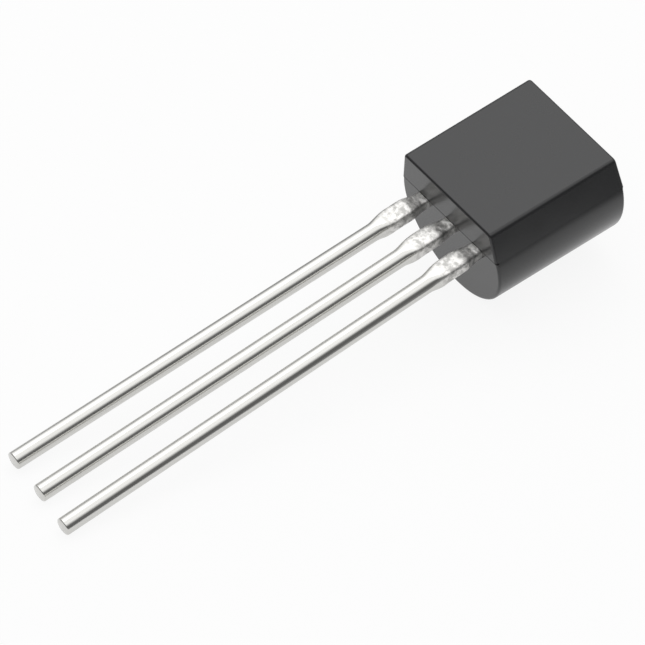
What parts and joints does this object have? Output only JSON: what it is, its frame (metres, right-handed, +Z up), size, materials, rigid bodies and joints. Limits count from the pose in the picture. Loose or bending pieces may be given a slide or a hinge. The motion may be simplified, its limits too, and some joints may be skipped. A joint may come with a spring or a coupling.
{
  "type": "thyristor",
  "caption": "Small thyristor in a D-shaped black moulded body, flat on the front and round behind, with straight tin-plated wire leads in a row for cathode, gate and anode.",
  "frame": {"origin": "on the surface the part lies on, under the centre of its bounding box", "axes": "+Z up, out of the flat face but for the small resting tilt; +Y along the part from the tips of the leads toward the body; +X across the leads from the cathode to the anode"},
  "size_m": [0.0046, 0.0194, 0.0043],
  "materials": {
    "moulding": "semi-gloss moulded epoxy",
    "tinned_lead": "satin tin plate over copper alloy",
    "silicon": "polished",
    "solder": "dull",
    "pad_metal": "bright",
    "bond_metal": "bright"
  },
  "bodies": {
    "root": {"moulded_body": "moulding", "cathode_lead": "tinned_lead", "gate_lead": "tinned_lead", "anode_lead": "tinned_lead", "thyristor_chip": "silicon", "die_attach_solder": "solder", "cathode_pad": "pad_metal", "gate_pad": "pad_metal", "cathode_bond_wire": "bond_metal", "gate_bond_wire": "bond_metal"}
  },
  "joints": []
}
